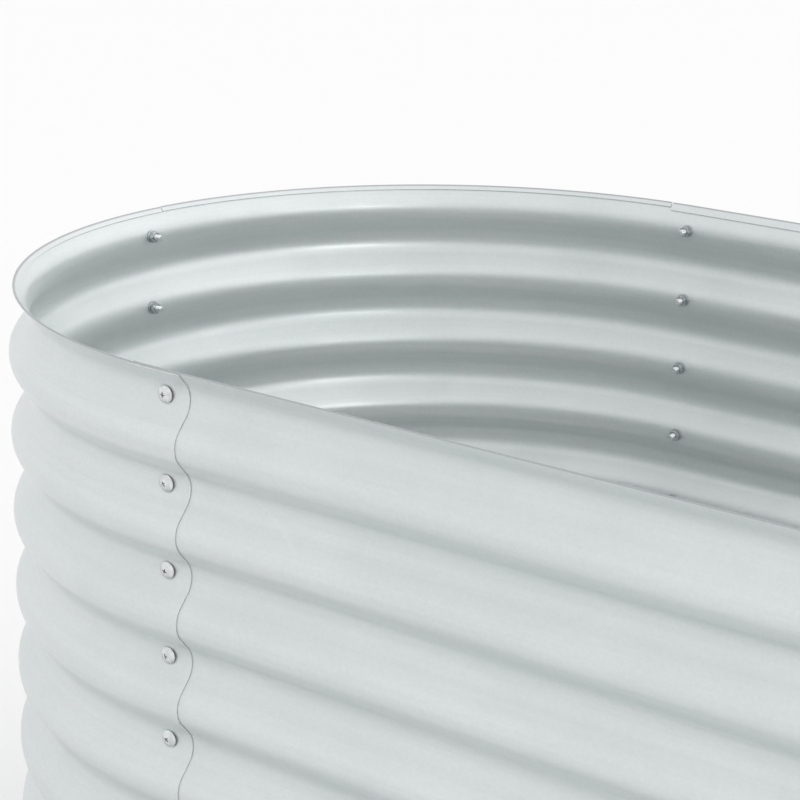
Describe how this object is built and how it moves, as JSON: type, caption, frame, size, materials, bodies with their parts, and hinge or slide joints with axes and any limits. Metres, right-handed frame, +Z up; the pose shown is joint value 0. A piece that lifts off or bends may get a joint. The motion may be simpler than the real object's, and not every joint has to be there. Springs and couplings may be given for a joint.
{
  "type": "raised garden bed",
  "caption": "Open-bottomed raised garden bed with round ends, made of lapped corrugated sheet panels joined by rows of screws, washers and nuts.",
  "frame": {"origin": "on the ground, at the middle of the bed", "axes": "+X along the bed, +Y from the front to the back, +Z up"},
  "size_m": [1.5208, 0.8, 0.68],
  "materials": {
    "corner_sheet": "satin galvanised steel sheet, pale silver",
    "side_sheet": "satin galvanised steel sheet, pale silver",
    "screw": "bright zinc-plated steel",
    "washer": "bright zinc-plated steel",
    "nut": "bright zinc-plated steel"
  },
  "bodies": {
    "root": {"corner_panel_front_left": "corner_sheet", "corner_panel_back_left": "corner_sheet", "corner_panel_front_right": "corner_sheet", "corner_panel_back_right": "corner_sheet", "side_panel_front": "side_sheet", "side_panel_back": "side_sheet", "seam_screws_front_left": "screw", "seam_screws_front_right": "screw", "seam_screws_back_left": "screw", "seam_screws_back_right": "screw", "seam_screws_end_left": "screw", "seam_screws_end_right": "screw", "seam_washers_front_left": "washer", "seam_washers_front_right": "washer", "seam_washers_back_left": "washer", "seam_washers_back_right": "washer", "seam_washers_end_left": "washer", "seam_washers_end_right": "washer", "seam_nuts_front_left": "nut", "seam_nuts_front_right": "nut", "seam_nuts_back_left": "nut", "seam_nuts_back_right": "nut", "seam_nuts_end_left": "nut", "seam_nuts_end_right": "nut"}
  },
  "joints": []
}
